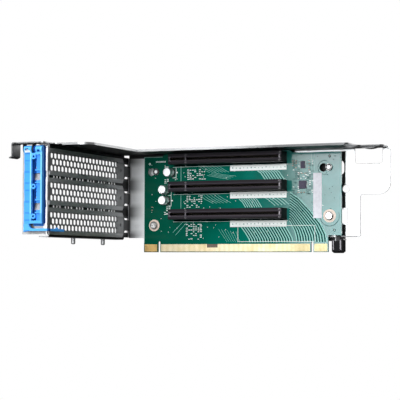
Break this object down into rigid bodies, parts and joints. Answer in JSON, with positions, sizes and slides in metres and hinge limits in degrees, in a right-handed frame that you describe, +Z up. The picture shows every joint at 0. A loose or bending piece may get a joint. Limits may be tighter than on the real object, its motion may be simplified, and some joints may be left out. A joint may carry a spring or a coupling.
{
  "type": "pcie riser card",
  "caption": "Server riser: green circuit board with card slots and an edge connector, on a folded steel frame with perforated slot blanks and a blue hinged card retainer.",
  "frame": {"origin": "middle of the edge connector's lower edge, halfway through the board's thickness", "axes": "+X along the board away from the slot blanks, +Y from the board to the back plate, +Z up from the edge connector to the roof"},
  "size_m": [0.2331, 0.132, 0.0748],
  "materials": {
    "board": "green solder resist over glass fibre",
    "contact_plating": "thin gold plating",
    "slot_plastic": "black moulded plastic with a soft sheen",
    "frame_sheet": "galvanised sheet steel",
    "window_sheet": "galvanised sheet steel",
    "blank_sheet": "plated sheet steel",
    "steel_pin": "turned steel",
    "retainer_plastic": "blue moulded plastic",
    "screw_steel": "nickel-plated steel",
    "capacitor_base": "black moulded base",
    "capacitor_can": "drawn aluminium can",
    "chip_body": "black moulded package",
    "lead_metal": "tinned leads",
    "passive_body": "brown ceramic with tinned ends",
    "label_paper": "blank white label",
    "guide_plastic": "black moulded plastic"
  },
  "bodies": {
    "carrier": {"circuit_board": "board", "edge_contacts_front": "contact_plating", "edge_contacts_back": "contact_plating", "slot_housing_1": "slot_plastic", "slot_housing_2": "slot_plastic", "slot_housing_3": "slot_plastic", "support_frame": "frame_sheet", "rear_window": "window_sheet", "slot_blank_1": "blank_sheet", "slot_blank_2": "blank_sheet", "slot_blank_3": "blank_sheet", "hinge_bracket": "window_sheet", "hinge_pin": "steel_pin", "locating_pins": "steel_pin", "standoffs": "frame_sheet", "board_screws": "screw_steel", "hanging_studs": "screw_steel", "capacitor_base_1": "capacitor_base", "capacitor_can_1": "capacitor_can", "capacitor_base_2": "capacitor_base", "capacitor_can_2": "capacitor_can", "capacitor_base_3": "capacitor_base", "capacitor_can_3": "capacitor_can", "switch_chip": "chip_body", "switch_chip_leads": "lead_metal", "clock_chip": "chip_body", "clock_chip_leads": "lead_metal", "passives": "passive_body", "blank_label": "label_paper", "guide_block": "guide_plastic"},
    "retainer": {"card_retainer": "retainer_plastic"}
  },
  "joints": [
    {"name": "retainer_hinge", "type": "hinge", "parent": "carrier", "child": "retainer", "pos_m": [-0.10175, -0.11874, 0.0689], "axis": [-1, 0, 0], "range_deg": [0, 80]}
  ]
}
